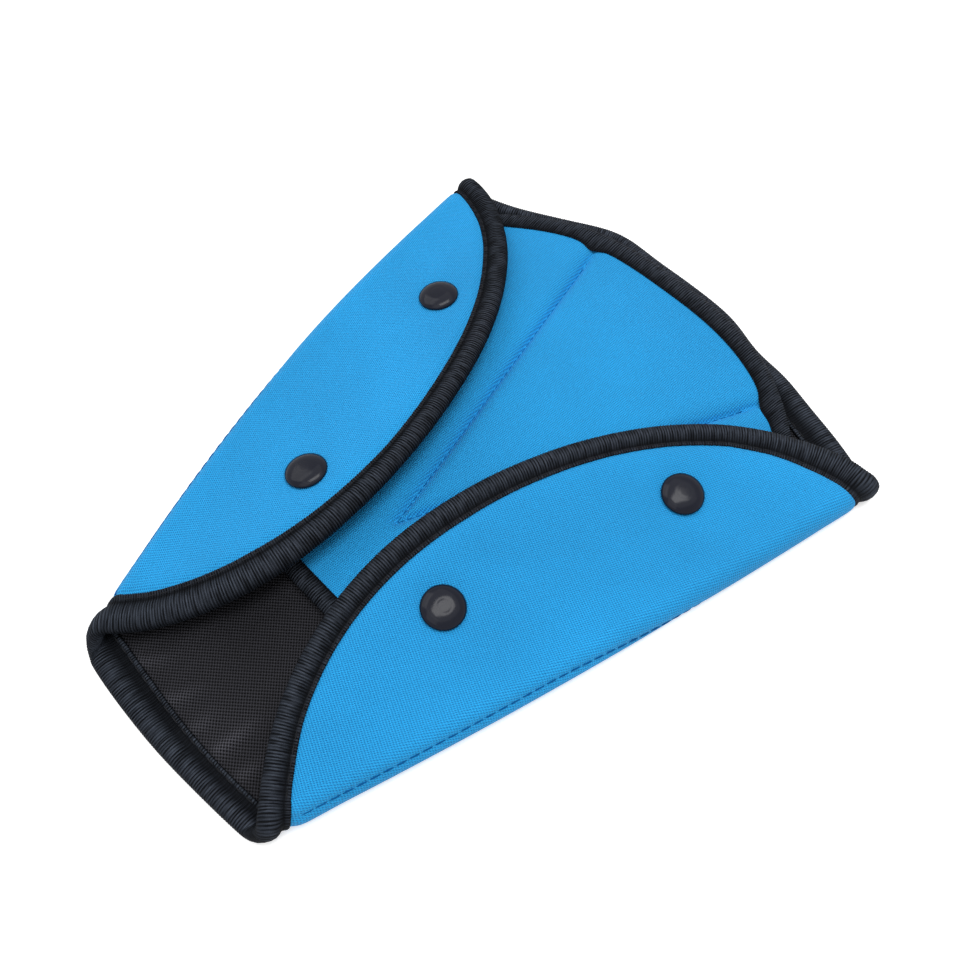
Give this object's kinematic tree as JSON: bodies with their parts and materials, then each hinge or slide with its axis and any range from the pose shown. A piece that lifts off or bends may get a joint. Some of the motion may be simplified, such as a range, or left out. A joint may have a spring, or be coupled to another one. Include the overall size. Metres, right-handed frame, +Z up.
{
  "type": "seat belt shoulder pad",
  "caption": "Padded cover with side flaps that fold over a quilted inner pad and snap shut round the shoulder and lap belts, to guide the belt away from a child's neck.",
  "frame": {"origin": "middle of the underside, on the surface that the pad lies on", "axes": "+Y from the narrow end to the wide end, +Z up through the pad, +X across it"},
  "size_m": [0.2036, 0.2556, 0.0224],
  "materials": {
    "blue_knit": "fine knit face on foam, matt with a faint sheen",
    "blue_pad": "fine knit face on foam, quilted with a tone on tone thread",
    "black_lining": "coarse woven nylon",
    "black_binding": "ribbed elastic tape with a line of stitches",
    "snap_black": "glossy"
  },
  "bodies": {
    "root": {"cover": "blue_knit", "lining": "black_lining", "edge_binding": "black_binding", "pad": "blue_pad", "pad_binding_wide": "black_binding", "pad_binding_narrow": "black_binding", "snap_cap_1": "snap_black", "snap_cap_2": "snap_black", "snap_cap_3": "snap_black", "snap_cap_4": "snap_black", "snap_socket_1": "snap_black", "snap_socket_2": "snap_black", "snap_socket_3": "snap_black", "snap_socket_4": "snap_black", "snap_stud_1": "snap_black", "snap_stud_2": "snap_black", "snap_stud_3": "snap_black", "snap_stud_4": "snap_black", "snap_post_1": "snap_black", "snap_post_2": "snap_black", "snap_post_3": "snap_black", "snap_post_4": "snap_black"}
  },
  "joints": []
}
